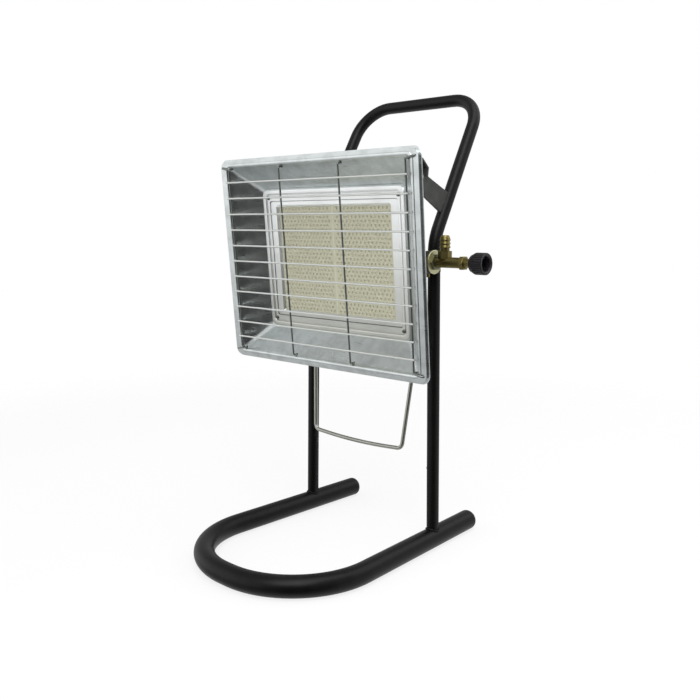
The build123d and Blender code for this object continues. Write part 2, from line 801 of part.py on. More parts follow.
# ---------------------------------------------------------------- mixing tube, injector
MIXER_SECTION = Plane(origin=MIXER.origin, x_dir=(1, 0, 0), z_dir=HEAD.z_dir)
mixer_mouth_x = box_half[0] + mixer_mouth_out
yoke_web_x = box_half[0] + yoke_web_out
jet_tip_x = yoke_web_x - jet_nose
flare_turn_x, flare_turn_v = mixer_flare_turn
with BuildPart() as mixing_tube:
    flare_x = mixer_mouth_x - mixer_flare_length
    with BuildSketch(MIXER_SECTION):
        with BuildLine():
            Polyline(
                (flare_x, mixer_r),
                (mixer_far_x, mixer_r),
                (mixer_far_x, mixer_r - mixer_wall),
                (flare_x, mixer_r - mixer_wall),
            )
            Spline(
                (flare_x, mixer_r - mixer_wall),
                (mixer_mouth_x, mixer_r - mixer_wall + mixer_flare),
                tangents=((1, 0), mixer_flare_turn),
            )
            Line(
                (mixer_mouth_x, mixer_r - mixer_wall + mixer_flare),
                (mixer_mouth_x - mixer_wall, mixer_r + mixer_flare),
            )
            Spline(
                (mixer_mouth_x - mixer_wall, mixer_r + mixer_flare),
                (flare_x, mixer_r),
                tangents=((-flare_turn_x, -flare_turn_v), (-1, 0)),
            )
        make_face()
    revolve(axis=Axis(MIXER.origin, (1, 0, 0)))
save(mixing_tube, "mixing_tube")

# Yoke: a bent strip that holds the injector in front of the tube's flared mouth.
with BuildPart() as injector_yoke:
    yoke_out = yoke_half + yoke_thick
    with BuildSketch(MIXER_SECTION):
        Polygon(
            (box_half[0], yoke_half),
            (box_half[0], yoke_out + yoke_foot),
            (box_half[0] + yoke_thick, yoke_out + yoke_foot),
            (box_half[0] + yoke_thick, yoke_out),
            (yoke_web_x + yoke_thick, yoke_out),
            (yoke_web_x + yoke_thick, -yoke_out),
            (box_half[0] + yoke_thick, -yoke_out),
            (box_half[0] + yoke_thick, -yoke_out - yoke_foot),
            (box_half[0], -yoke_out - yoke_foot),
            (box_half[0], -yoke_half),
            (yoke_web_x, -yoke_half),
            (yoke_web_x, yoke_half),
            align=None,
        )
    extrude(amount=yoke_width / 2, both=True)
    with BuildSketch(MIXER.offset(yoke_web_x)):
        Circle(jet_neck_r + thread_gap)
    extrude(amount=yoke_thick, mode=Mode.SUBTRACT)
save(injector_yoke, "injector_yoke")

with BuildPart() as injector:
    jet_hex_x = yoke_web_x + yoke_thick
    jet_end_x = jet_hex_x + jet_hex + jet_tail
    with BuildSketch(MIXER_SECTION):
        Polygon(
            (jet_tip_x, 0),
            (jet_tip_x, jet_tip_r),
            (yoke_web_x, jet_shoulder_r),
            (yoke_web_x, jet_neck_r),
            (jet_hex_x, jet_neck_r),
            (jet_hex_x, jet_tail_r),
            (jet_end_x, jet_tail_r),
            (jet_end_x, 0),
            align=None,
        )
    revolve(axis=Axis(MIXER.origin, (1, 0, 0)))
    with BuildSketch(MIXER.offset(jet_hex_x)):
        RegularPolygon(jet_flats / 2, 6, major_radius=False)
    extrude(amount=jet_hex)
    with BuildSketch(MIXER.offset(jet_tip_x + jet_nose_wall)):
        Circle(jet_bore_r)
    extrude(amount=jet_end_x - jet_tip_x - jet_nose_wall, mode=Mode.SUBTRACT)
save(injector, "injector")

# ---------------------------------------------------------------- bail
bail_eye_x, bail_eye_low = spread(box_half, (-bail_eye_inset[0], -bail_eye_inset[1]))
hinge = (box_back_depth + bail_standoff, -bail_eye_low)
hinge_at = SIDE.to_local_coords(HEAD_SIDE.from_local_coords((*hinge, 0)))
foot_low = hinge[1] - bail_foot_drop
shoulder = radians(bail_lug_shoulder_deg)
bail_lug_x = box_half[0] - bail_lug_inset
for side_name, side in (("left", -1), ("right", 1)):
    with BuildPart() as bail_lug:
        outer_x = bail_lug_x + bail_lug_thick
        with BuildSketch(behind(box_back_depth)):
            with Locations((side * (outer_x - bail_foot[0] / 2), foot_low + bail_foot[1] / 2)):
                Rectangle(*bail_foot)
        extrude(amount=-bail_foot_thick)
        with BuildSketch(HEAD_SIDE.offset(side * bail_lug_x)):
            Polygon(
                (box_back_depth, foot_low),
                (box_back_depth, foot_low + bail_foot[1]),
                (box_back_depth + bail_foot_thick, foot_low + bail_foot[1]),
                (hinge[0] + bail_lug_r * cos(shoulder), hinge[1] + bail_lug_r * sin(shoulder)),
                (hinge[0], hinge[1] - bail_lug_r),
                align=None,
            )
            with Locations(hinge):
                Circle(bail_lug_r)
                Circle(bail_r + run_gap, mode=Mode.SUBTRACT)
        extrude(amount=side * bail_lug_thick)
    save(bail_lug, f"bail_lug_{side_name}")

eye_y, eye_z = hinge_at.X, hinge_at.Y
bar_y, bar_z = eye_y + bail_drop[0], eye_z + bail_drop[1]
bar_half = bail_eye_x - bail_narrow
with BuildPart() as bail_wire:
    with BuildLine(STAND) as bail_line:
        FilletPolyline(
            (bail_pin - bail_eye_x, eye_y, eye_z),
            (-bail_eye_x, eye_y, eye_z),
            (-bar_half, bar_y, bar_z),
            (0, bar_y, bar_z - bail_bow),
            (bar_half, bar_y, bar_z),
            (bail_eye_x, eye_y, eye_z),
            (bail_eye_x - bail_pin, eye_y, eye_z),
            radius=(bail_eye_bend, bail_bar_bend, bail_bow_r, bail_bar_bend, bail_eye_bend),
        )
    with BuildSketch(Plane(origin=bail_line.line @ 0, z_dir=bail_line.line % 0)):
        Circle(bail_r)
    sweep(path=bail_line.line)
save(bail_wire, "bail_wire")
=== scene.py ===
import bpy
import bmesh
import json
import math
import random
from mathutils import Matrix, Vector


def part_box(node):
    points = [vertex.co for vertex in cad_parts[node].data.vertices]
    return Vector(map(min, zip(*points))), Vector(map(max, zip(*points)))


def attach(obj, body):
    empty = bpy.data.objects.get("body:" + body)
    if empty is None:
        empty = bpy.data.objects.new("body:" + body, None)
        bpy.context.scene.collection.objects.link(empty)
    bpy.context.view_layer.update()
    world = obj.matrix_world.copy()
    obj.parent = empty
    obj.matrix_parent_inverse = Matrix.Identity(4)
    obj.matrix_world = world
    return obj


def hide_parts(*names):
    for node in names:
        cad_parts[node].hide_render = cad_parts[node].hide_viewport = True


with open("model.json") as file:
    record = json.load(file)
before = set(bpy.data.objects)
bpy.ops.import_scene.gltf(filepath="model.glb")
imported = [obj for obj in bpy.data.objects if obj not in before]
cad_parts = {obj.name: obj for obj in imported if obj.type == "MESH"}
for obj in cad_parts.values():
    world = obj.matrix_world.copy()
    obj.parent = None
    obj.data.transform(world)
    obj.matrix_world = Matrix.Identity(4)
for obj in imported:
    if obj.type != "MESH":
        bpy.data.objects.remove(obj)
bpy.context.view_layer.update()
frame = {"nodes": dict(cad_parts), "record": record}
nodes = frame["nodes"]
MM = 0.001

# ---------------------------------------------------------------- sizes, as in the source
TILT = math.radians(5.0)
BASE_R = 12.6 * MM
BASE_FRONT = 242.0 * MM
LEG_SLOPE = 0.037
POST_R = 7.57 * MM
POST_FOOT_X = 105.0 * MM
POST_BEND_X = 99.5 * MM
POST_BEND_Z = 380.7 * MM
HEAD_MIDDLE = Vector((0, -97.0, 352.7)) * MM
BAND_FRONT = 3.0 * MM
RIM_LIP = 2.3 * MM
BAND_WIDTH = Vector((12.0, 8.5)) * MM
MOUTH_R = 4.0 * MM
PLAQUE_THICK = 12.0 * MM
SCREW_R = 1.25 * MM
SCREW_HEAD_R = 2.2 * MM
SCREW_HEAD = 1.3 * MM
SCREW_ROUND = 0.8 * MM

# ---------------------------------------------------------------- places, from the frame
handle_low, handle_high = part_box("handle_frame")
base_low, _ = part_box("base_tube")
plaque_low, plaque_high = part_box("plaque_left")
right_plaque_low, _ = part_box("plaque_right")
frame_low, frame_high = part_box("burner_frame")
MID_X = (handle_low.x + handle_high.x) / 2
POST_Y = base_low.y + BASE_FRONT + BASE_R
DATUM = Vector((MID_X, POST_Y, 0))
ACROSS = Vector((1, 0, 0))
HEAD_UP = Vector((0, -math.sin(TILT), math.cos(TILT)))
HEAD_OUT = Vector((0, -math.cos(TILT), -math.sin(TILT)))
HEAD_AT = DATUM + HEAD_MIDDLE
SIDES = ((-1, "left"), (1, "right"))
ENDS = ((-1, "low"), (1, "high"))


def on_head(across, up_by, out_by):
    """A point told from the middle of the reflector's front plane."""
    return HEAD_AT + Vector((across, 0, 0)) + HEAD_UP * up_by + HEAD_OUT * out_by


def head_box(node):
    """The least and greatest place of a CAD piece: across the head, up it and out of it."""
    spots = []
    for vert in nodes[node].data.vertices:
        spot = nodes[node].matrix_world @ vert.co - HEAD_AT
        spots.append((spot.x, spot.dot(HEAD_UP), spot.dot(HEAD_OUT)))
    return [Vector(pick(values) for values in zip(*spots)) for pick in (min, max)]


# ---------------------------------------------------------------- making of meshes
SMOOTH_DEG = 35
CORNER_STEPS = 6
BEAD_STEPS = 10
BAR_STEPS = 12


def link(piece):
    """Shows an object in the scene."""
    bpy.context.scene.collection.objects.link(piece)
    return piece


def object_from(name, mesh_data, smooth_deg=SMOOTH_DEG):
    """A shown object made from bmesh data, smooth but for its sharp edges."""
    mesh = bpy.data.meshes.new(name)
    mesh_data.normal_update()
    sharp = math.radians(smooth_deg)
    for edge in mesh_data.edges:
        edge.smooth = len(edge.link_faces) == 2 and edge.calc_face_angle() < sharp
    for face in mesh_data.faces:
        face.smooth = True
    mesh_data.to_mesh(mesh)
    mesh_data.free()
    return link(bpy.data.objects.new(name, mesh))


def faces_between(data, ring, following):
    """The new faces that join two rings of points, in order round the rings."""
    faces = []
    for i in range(len(ring)):
        k = (i + 1) % len(ring)
        faces.append(data.faces.new([ring[i], ring[k], following[k], following[i]]))
    return faces


def skinned(name, data, rings, closed):
    """An object whose skin joins ring to ring; its two ends meet if closed, or are covered."""
    for ring, following in zip(rings, rings[1:]):
        faces_between(data, ring, following)
    if closed:
        faces_between(data, rings[-1], rings[0])
    else:
        data.faces.new(rings[0])
        data.faces.new(rings[-1])
    bmesh.ops.recalc_face_normals(data, faces=data.faces)
    return object_from(name, data)


def heading(path, i, closed):
    """The direction of a path at one of its points."""
    before = path[i - 1] if i or closed else path[i]
    after = path[(i + 1) % len(path)] if i + 1 < len(path) or closed else path[i]
    return (after - before).normalized()


def rounded(half_x, half_z, radius):
    """The corner-rounded rectangle's points, in order."""
    points = []
    for sign_x, sign_z, start in ((1, 1, 0), (-1, 1, 90), (-1, -1, 180), (1, -1, 270)):
        for step in range(CORNER_STEPS + 1):
            angle = math.radians(start + 90 * step / CORNER_STEPS)
            points.append(
                Vector((
                    sign_x * (half_x - radius) + radius * math.cos(angle),
                    sign_z * (half_z - radius) + radius * math.sin(angle),
                ))
            )
    return points


def bead(name, path, out_by, width, height, closed):
    """A low rounded bead along a path on the head's front plane."""
    data = bmesh.new()
    arc = [math.radians(180 * i / BEAD_STEPS) for i in range(BEAD_STEPS + 1)]
    rings = []
    for i, point in enumerate(path):
        along = heading(path, i, closed)
        side = Vector((along.y, -along.x))
        ring = []
        for angle in arc:
            spot = point + side * width / 2 * math.cos(angle)
            rise = height * math.sin(angle)
            ring.append(data.verts.new(on_head(spot.x, spot.y, out_by + rise)))
        rings.append(ring)
    return skinned(name, data, rings, closed)


def round_bar(name, path, radii, closed=False):
    """A round bar along a path of points, thicker and thinner by its radii."""
    data = bmesh.new()
    rings = []
    side = None
    for i, (point, radius) in enumerate(zip(path, radii)):
        along = heading(path, i, closed)
        side = (side or along.orthogonal()).cross(along).cross(along).normalized() * -1
        third = along.cross(side)
        rings.append([
            data.verts.new(point + (side * math.cos(a) + third * math.sin(a)) * radius)
            for a in (2 * math.pi * j / BAR_STEPS for j in range(BAR_STEPS))
        ])
    return skinned(name, data, rings, closed)


# ---------------------------------------------------------------- making of materials
WHITE = (1, 1, 1, 1)
FINE_DETAIL = 4.0
BROAD_DETAIL = 3.0
BROAD_BY = 14
TONE_FROM = 0.32
TONE_TO = 0.68
CLOUD_SCALE = 75.0
CLOUD_FROM = 0.36
CLOUD_TO = 0.6
ROUGH_LEAST = 0.02
ROUGH_MOST = 1.0
RELIEF = 0.4 * MM
looks = {}


def srgb(code):
    """Linear colour of a hex code, by the sRGB standard's curve."""
    parts = [int(code[i : i + 2], 16) / 255 for i in (1, 3, 5)]
    return [p / 12.92 if p <= 0.04045 else ((p + 0.055) / 1.055) ** 2.4 for p in parts]


def noise(tree, vector, scale, detail):
    """A noise texture read at the given place."""
    field = tree.nodes.new("ShaderNodeTexNoise")
    field.inputs["Scale"].default_value = scale
    field.inputs["Detail"].default_value = detail
    tree.links.new(vector, field.inputs["Vector"])
    return field.outputs["Fac"]


def ramp(tree, value, first, last):
    """A colour ramp over a value, from one stop to another; a stop is a place and a colour."""
    node = tree.nodes.new("ShaderNodeValToRGB")
    for element, (place, colour) in zip(node.color_ramp.elements, (first, last)):
        element.position = place
        element.color = (*colour, 1)
    tree.links.new(value, node.inputs["Fac"])
    return node.outputs["Color"]


def spread(tree, value, low=0.0, high=1.0, start=0.0, stop=1.0, smooth=False):
    """A value between start and stop laid over the range from low to high."""
    node = tree.nodes.new("ShaderNodeMapRange")
    if smooth:
        node.interpolation_type = "SMOOTHSTEP"
    node.inputs["From Min"].default_value = start
    node.inputs["From Max"].default_value = stop
    node.inputs["To Min"].default_value = low
    node.inputs["To Max"].default_value = high
    tree.links.new(value, node.inputs["Value"])
    return node.outputs["Result"]


def height_of(tree, vector):
    """The Z of a place or direction."""
    split = tree.nodes.new("ShaderNodeSeparateXYZ")
    tree.links.new(vector, split.inputs["Vector"])
    return split.outputs["Z"]


def blend(tree, kind, weight, first, second, mode="MIX"):
    """A blend of two levels or colours, each told as a value or by a socket."""
    node = tree.nodes.new("ShaderNodeMix")
    node.data_type = kind
    node.blend_type = mode
    for socket, value in (("Factor", weight), ("A", first), ("B", second)):
        if isinstance(value, bpy.types.NodeSocket):
            tree.links.new(value, node.inputs[socket])
        else:
            node.inputs[socket].default_value = value
    return node.outputs["Result"]


def mix_shaders(tree, weight, first, second):
    """One shader at weight 0, the other at weight 1, and a mix between."""
    node = tree.nodes.new("ShaderNodeMixShader")
    for socket, value in enumerate((weight, first, second)):
        tree.links.new(value, node.inputs[socket])
    return node.outputs["Shader"]


def material(
    name, code, second, metallic=0.0, roughness=0.5, rough_by=0.1, vary=0.06, grain=400.0,
    stretch=(1, 1, 1), bump=0.05, specular=0.5, foot=None, cloud=0.0,
):
    """A worn surface, kept in looks: its colour, roughness and fine relief follow noise.

    foot is painted shade, a darker tint that the surface has low down, with the height where it
    starts to fade and the height where it is gone; cloud is how much broad patches darken it.
    """
    made = bpy.data.materials.new(name)
    made.use_nodes = True
    tree = made.node_tree
    shader = tree.nodes["Principled BSDF"]
    shader.inputs["Metallic"].default_value = metallic
    shader.inputs["Specular IOR Level"].default_value = specular
    where = tree.nodes.new("ShaderNodeTexCoord").outputs["Object"]
    scale = tree.nodes.new("ShaderNodeMapping")
    scale.inputs["Scale"].default_value = stretch
    tree.links.new(where, scale.inputs["Vector"])
    fine = noise(tree, scale.outputs["Vector"], grain, FINE_DETAIL)
    broad = noise(tree, scale.outputs["Vector"], grain / BROAD_BY, BROAD_DETAIL)
    darker = [c * (1 - vary) for c in srgb(code)]
    lighter = [min(1, c * (1 + vary)) for c in srgb(second)]
    colour = ramp(tree, broad, (TONE_FROM, darker), (TONE_TO, lighter))
    if cloud:
        patches = noise(tree, where, CLOUD_SCALE, BROAD_DETAIL)
        shade = ramp(tree, patches, (CLOUD_FROM, [1 - cloud] * 3), (CLOUD_TO, [1.0] * 3))
        colour = blend(tree, "RGBA", 1.0, colour, shade, mode="MULTIPLY")
    # Painted shade: a darker tint low down, fading out with height.
    if foot:
        foot_shade, fade_z, gone_z = foot
        rise = spread(tree, height_of(tree, where), start=fade_z, stop=gone_z)
        colour = blend(tree, "RGBA", rise, (*srgb(foot_shade), 1), colour)
    tree.links.new(colour, shader.inputs["Base Color"])
    smoothest = max(ROUGH_LEAST, roughness - rough_by)
    roughest = min(ROUGH_MOST, roughness + rough_by)
    tree.links.new(spread(tree, fine, smoothest, roughest), shader.inputs["Roughness"])
    bumps = tree.nodes.new("ShaderNodeBump")
    bumps.inputs["Strength"].default_value = bump
    bumps.inputs["Distance"].default_value = RELIEF
    tree.links.new(fine, bumps.inputs["Height"])
    tree.links.new(bumps.outputs["Normal"], shader.inputs["Normal"])
    looks[name] = made


# ---------------------------------------------------------------- looks of the record's slots
material("stand_paint", "#080807", "#0b0b0a", roughness=0.4, grain=900, vary=0.15, specular=0.2)
material("plug_plastic", "#0f0f0e", "#131312", roughness=0.5, grain=1500, specular=0.3)
material("strap_paint", "#383a37", "#424340", roughness=0.6, grain=1200, vary=0.1, specular=0.3)
material("zinc_yellow", "#cbc9a3", "#b9b78f", metallic=0.9, roughness=0.38)
material("valve_brass", "#877b4c", "#6a5f38", metallic=0.95, roughness=0.36, vary=0.12)
material("dark_steel", "#80806a", "#6b6b55", metallic=0.85, roughness=0.42)
material("stem_brass", "#cdbb84", "#c2af74", metallic=1.0, roughness=0.25)
material("knob_plastic", "#1c191d", "#242025", roughness=0.45, grain=1500, bump=0.08, specular=0.4)
material(
    "reflector_sheet", "#d8dddd", "#d2d7d7", metallic=1.0, roughness=0.29, rough_by=0.05,
    grain=120, stretch=(0.3, 0.6, 6), bump=0.014, vary=0.1, cloud=0.15,
)
# The frame is tinted darker towards its bottom: painted shade.
material(
    "frame_sheet", "#fafcfc", "#f2f4f4", metallic=0.7, roughness=0.29, rough_by=0.03,
    grain=160, bump=0.004,
    foot=("#c8c9c2", frame_low.z, (frame_low.z + 2 * frame_high.z) / 3),
)
material("fibre", "#cfccc0", "#dad6ca", roughness=0.95, grain=900, bump=0.4)
material("plaque_ceramic", "#cbc9b4", "#c2c0aa", roughness=0.9, grain=1500, bump=0.2, specular=0.2)
material("box_sheet", "#b5b9b8", "#a3a8a7", metallic=0.95, roughness=0.4, grain=120, vary=0.1)
material("fastener_steel", "#a2a5a3", "#90938f", metallic=0.95, roughness=0.35)
material("guard_wire", "#dddfdc", "#cfd1ce", metallic=0.9, roughness=0.36, grain=700)
material("bail_steel", "#b0b0a8", "#9a9a93", metallic=1.0, roughness=0.36, grain=700)

# ---------------------------------------------------------------- looks of single pieces
# The dimples' dark olive is painted shade, for the dark inside the burner ports.
material(
    "dimple_painted_shade", "#5f5a3c", "#555033", roughness=0.95, grain=1500, bump=0.2, specular=0.15
)
# A darker copy of the guard wire's look, for its uprights and ties: painted shade.
material("shaded_guard_wire", "#888c89", "#787c79", metallic=1.0, roughness=0.36, grain=700)
material("rivet_black", "#040404", "#060606", roughness=0.3, grain=900, vary=0.15, specular=0.5)
material("joint_cement", "#d3d4be", "#caccb5", roughness=0.95, grain=1500, bump=0.3, specular=0.15)
material("screw_steel", "#7c7f7b", "#6a6d69", metallic=0.95, roughness=0.35)
# The screws' recesses are near-black: painted shade.
material("screw_recess_shade", "#242524", "#303130", metallic=0.6, roughness=0.6)
slot_of = {part["node"]: part["material_slot"] for part in frame["record"]["subparts"]}


def finish_with(piece, *finishes):
    """Gives a piece its materials."""
    piece.data.materials.clear()
    for look in finishes:
        piece.data.materials.append(looks[look])


for node, piece in nodes.items():
    finish_with(piece, slot_of[node])
# The guard's uprights take the darker, painted-shade copy of the wire.
finish_with(nodes["guard_verticals"], "shaded_guard_wire")

# ---------------------------------------------------------------- camera
# Fitted to the photo, told from the stand's datum: its centre plane, the uprights' axis
# and the floor.
CAMERA_AT = Vector((672.05, -781.91, 399.18)) * MM
CAMERA_YAW = math.radians(42.11)
CAMERA_PITCH = math.radians(8.865)
CAMERA_ROLL = math.radians(0.1)
SENSOR = 36.0
FOCAL_PIXELS = 805.8
IMAGE_PIXELS = 700
CLIP_NEAR = 0.02
CLIP_FAR = 30
right = Vector((math.cos(CAMERA_YAW), math.sin(CAMERA_YAW), 0))
ahead = Vector((-math.sin(CAMERA_YAW), math.cos(CAMERA_YAW), -math.tan(CAMERA_PITCH))).normalized()
up = right.cross(ahead)
rolled_right = right * math.cos(CAMERA_ROLL) + up * math.sin(CAMERA_ROLL)
rolled_up = up * math.cos(CAMERA_ROLL) - right * math.sin(CAMERA_ROLL)
camera_data = bpy.data.cameras.new("photo_camera")
camera_data.sensor_width = SENSOR
camera_data.lens = FOCAL_PIXELS / IMAGE_PIXELS * SENSOR
camera_data.clip_start = CLIP_NEAR
camera_data.clip_end = CLIP_FAR
camera = link(bpy.data.objects.new("photo_camera", camera_data))
turn = Matrix((rolled_right, rolled_up, -ahead)).transposed()
camera.matrix_world = Matrix.Translation(DATUM + CAMERA_AT) @ turn.to_4x4()
bpy.context.scene.camera = camera

# ---------------------------------------------------------------- ceramic plaques
# Each tile's face is a brick bond of cells, each with one round dimple where the gas burns; a
# darker material in the dimples is painted shade.
CELL_W = 5.95 * MM
CELL_H = 5.0 * MM
DIMPLE_R = 1.85 * MM
DIMPLE_LIP = 0.25 * MM
DIMPLE_FLOOR_R = 1.15 * MM
DIMPLE_DEEP = 1.3 * MM
TILE_MARGIN = 0.6 * MM
TILE_SMOOTH_DEG = 25
LEAST_STRIP = 1e-7
SAME_PLACE = 1e-6
NEAR_RIM = DIMPLE_LIP / 10

# A dimple's rings: the radius and depth of each.
DIMPLE_RINGS = (
    (DIMPLE_R, 0.0),
    (DIMPLE_R - DIMPLE_LIP, DIMPLE_LIP),
    (DIMPLE_FLOOR_R, DIMPLE_DEEP),
)

# Points round a cell, told from its middle in quarters of its width and halves of its height.
CELL_POINTS = (
    *((i, -1) for i in range(-2, 3)),
    (2, 0),
    *((i, 1) for i in range(2, -3, -1)),
    (-2, 0),
)

# A piece with hollows has two materials, the second, darker one in the hollows as painted shade.
HOLLOW_SHADE = 1


def from_corner(corner, across, up_by, back_by):
    """A point told from a corner of a tile's face, along the head's own directions."""
    return Vector((corner[0] + across, *corner[1:])) + HEAD_UP * up_by - HEAD_OUT * back_by


def tile(name, corner, width, height, seam_right):
    """One ceramic tile with its dimpled face, told from that face's lower left corner.

    The dimples stop short of the seam between the tiles, where the face is plain.
    """
    data = bmesh.new()

    def at(across, up_by, back_by=0.0):
        return data.verts.new(from_corner(corner, across, up_by, back_by))

    def strip(x0, x1, z0, z1):
        if x1 - x0 > LEAST_STRIP and z1 - z0 > LEAST_STRIP:
            data.faces.new([at(x0, z0), at(x1, z0), at(x1, z1), at(x0, z1)])

    def dimple(x, z):
        rings = [[at(x + i * CELL_W / 4, z + j * CELL_H / 2) for i, j in CELL_POINTS]]
        for radius, back_by in DIMPLE_RINGS:
            ring = []
            for i, j in CELL_POINTS:
                angle = math.atan2(j * CELL_H / 2, i * CELL_W / 4)
                ring.append(at(x + radius * math.cos(angle), z + radius * math.sin(angle), back_by))
            rings.append(ring)
        for depth, (outer, inner) in enumerate(zip(rings, rings[1:])):
            for face in faces_between(data, outer, inner):
                face.material_index = HOLLOW_SHADE if depth else 0
        data.faces.new(rings[-1]).material_index = HOLLOW_SHADE

    columns = int(width / CELL_W)
    rows = int(height / CELL_H)
    at_seam = width - columns * CELL_W - TILE_MARGIN
    at_left, at_right = (TILE_MARGIN, at_seam) if seam_right else (at_seam, TILE_MARGIN)
    end = (height - rows * CELL_H) / 2
    strip(0, width, 0, end)
    strip(0, width, height - end, height)
    strip(0, at_left, end, height - end)
    strip(width - at_right, width, end, height - end)
    for row in range(rows):
        z = end + (row + 0.5) * CELL_H
        shift = 0.5 * (row % 2)
        if shift:
            for x0 in (at_left, width - at_right - CELL_W / 2):
                strip(x0, x0 + CELL_W / 2, z - CELL_H / 2, z + CELL_H / 2)
        for column in range(columns - row % 2):
            dimple(at_left + (column + 0.5 + shift) * CELL_W, z)
    bmesh.ops.remove_doubles(data, verts=data.verts, dist=SAME_PLACE)

    # The back, and four sides that join it to the points along the face's edges.
    open_edges = [edge for edge in data.edges if len(edge.link_faces) == 1]
    back_places = ((0, 0), (width, 0), (width, height), (0, height))
    back = [at(x, z, PLAQUE_THICK) for x, z in back_places]
    data.faces.new(back[::-1])
    origin = from_corner(corner, 0, 0, 0)
    rims = {"low": set(), "high": set(), "left": set(), "right": set()}
    for edge in open_edges:
        middle = (edge.verts[0].co + edge.verts[1].co) / 2 - origin
        rise = middle.dot(HEAD_UP)
        gaps = {"low": rise, "high": height - rise, "left": middle.x, "right": width - middle.x}
        nearest = min(gaps, key=gaps.get)
        if abs(gaps[nearest]) < NEAR_RIM:
            rims[nearest].update(edge.verts)
    for rim, along, first, second in (
        ("low", ACROSS, 0, 1),
        ("right", HEAD_UP, 1, 2),
        ("high", ACROSS, 2, 3),
        ("left", HEAD_UP, 3, 0),
    ):
        front = sorted(rims[rim], key=lambda vert: vert.co.dot(along))
        rear = sorted((back[first], back[second]), key=lambda vert: vert.co.dot(along))
        data.faces.new(front + rear[::-1])
    bmesh.ops.recalc_face_normals(data, faces=data.faces)
    made = object_from(name, data, TILE_SMOOTH_DEG)
    finish_with(made, "plaque_ceramic", "dimple_painted_shade")
    return made


tile_width = plaque_high.x - plaque_low.x
tile_height = (plaque_high.z - plaque_low.z - PLAQUE_THICK * math.sin(TILT)) / math.cos(TILT)
face_foot = (plaque_low.y + tile_height * math.sin(TILT), plaque_low.z)
for side_name, low_x in (("left", plaque_low.x), ("right", right_plaque_low.x)):
    tile_piece = tile(
        f"burning_tile_{side_name}", (low_x, *face_foot), tile_width, tile_height,
        seam_right=side_name == "left",
    )
    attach(tile_piece, "head")
    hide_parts(f"plaque_{side_name}")

# Cement in the seam, a little proud of the tiles' faces.
BEAD_SUNK = 0.2 * MM
JOINT_WIDTH = 2.4 * MM
JOINT_PROUD = 0.35 * MM
face_low, face_high = head_box("plaque_left")
seam_x = (plaque_high.x + right_plaque_low.x) / 2 - HEAD_AT.x
joint = bead(
    "tile_joint", [Vector((seam_x, face_low.y)), Vector((seam_x, face_high.y))],
    face_high.z - BEAD_SUNK, JOINT_WIDTH, JOINT_PROUD + BEAD_SUNK, closed=False,
)
finish_with(joint, "joint_cement")
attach(joint, "head")

# ---------------------------------------------------------------- rim and guard ties
# A pressed bead runs round the rim's flat band, close to the mouth.
RIM_BEAD_IN = 3.3 * MM
RIM_BEAD_WIDTH = 4.6 * MM
RIM_BEAD_HIGH = 0.75 * MM
_, rim_high = head_box("reflector")
mouth_x = rim_high.x - RIM_LIP - BAND_WIDTH.x
mouth_z = rim_high.y - RIM_LIP - BAND_WIDTH.y
rim_bead = bead(
    "rim_bead", rounded(mouth_x + RIM_BEAD_IN, mouth_z + RIM_BEAD_IN, MOUTH_R + RIM_BEAD_IN),
    BAND_FRONT - BEAD_SUNK, RIM_BEAD_WIDTH, RIM_BEAD_HIGH + BEAD_SUNK, closed=True,
)
finish_with(rim_bead, "reflector_sheet")
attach(rim_bead, "head")

# Short wires, a little thicker than the guard's, tie its corners to holes in the rim.
TIE_R = 1.15 * MM
TIE_BACK = 1.0 * MM
TIE_OVER = 0.3 * MM
TIE_REACH = Vector((8.0, 1.2)) * MM
TIE_UNDER = 1.6 * MM
TIE_HOOK = 1.6 * MM
TIE_HOOK_RISE = TIE_HOOK / 3
_, guard_high = head_box("guard_verticals")
tie_out = BAND_FRONT + RIM_BEAD_HIGH + TIE_R + TIE_OVER
for side_x, side_name in SIDES:
    for side_z, end_name in ENDS:
        start_x = side_x * (guard_high.x - TIE_R)
        start_z = side_z * (guard_high.y - TIE_UNDER)
        over_x = side_x * (mouth_x + TIE_REACH.x)
        over_z = side_z * (mouth_z + TIE_REACH.y)
        path = [
            on_head(start_x, start_z, tie_out),
            on_head((start_x + over_x) / 2, (start_z + over_z) / 2, tie_out + TIE_OVER),
            on_head(over_x - side_x * TIE_HOOK, over_z - side_z * TIE_HOOK_RISE, tie_out),
            on_head(over_x, over_z, tie_out - TIE_HOOK),
            on_head(over_x, over_z, BAND_FRONT - TIE_BACK),
        ]
        tie = round_bar(f"guard_tie_{side_name}_{end_name}", path, [TIE_R] * len(path))
        # The ties take the guard's darker, painted-shade copy of the wire.
        finish_with(tie, "shaded_guard_wire")
        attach(tie, "head")

# ---------------------------------------------------------------- frame screws
# Pan-head screws with a cross recess, which sinks all of a screw's innermost ring and the
# next ring where the cross has its arms. The recess is near-black: painted shade.
RECESS_R = 1.25 * MM
RECESS_CORE_R = 0.4 * MM
RECESS_DEEP = 0.6 * MM
CROWN_STEPS = 3
SCREW_SEGMENTS = 32
SCREW_ARM = 8


def in_recess(depth, *places):
    """Whether the recess takes in one of the places round a ring."""
    in_arm = any(min(i % SCREW_ARM, SCREW_ARM - i % SCREW_ARM) <= 1 for i in places)
    return depth == 0 or (depth == 1 and in_arm)


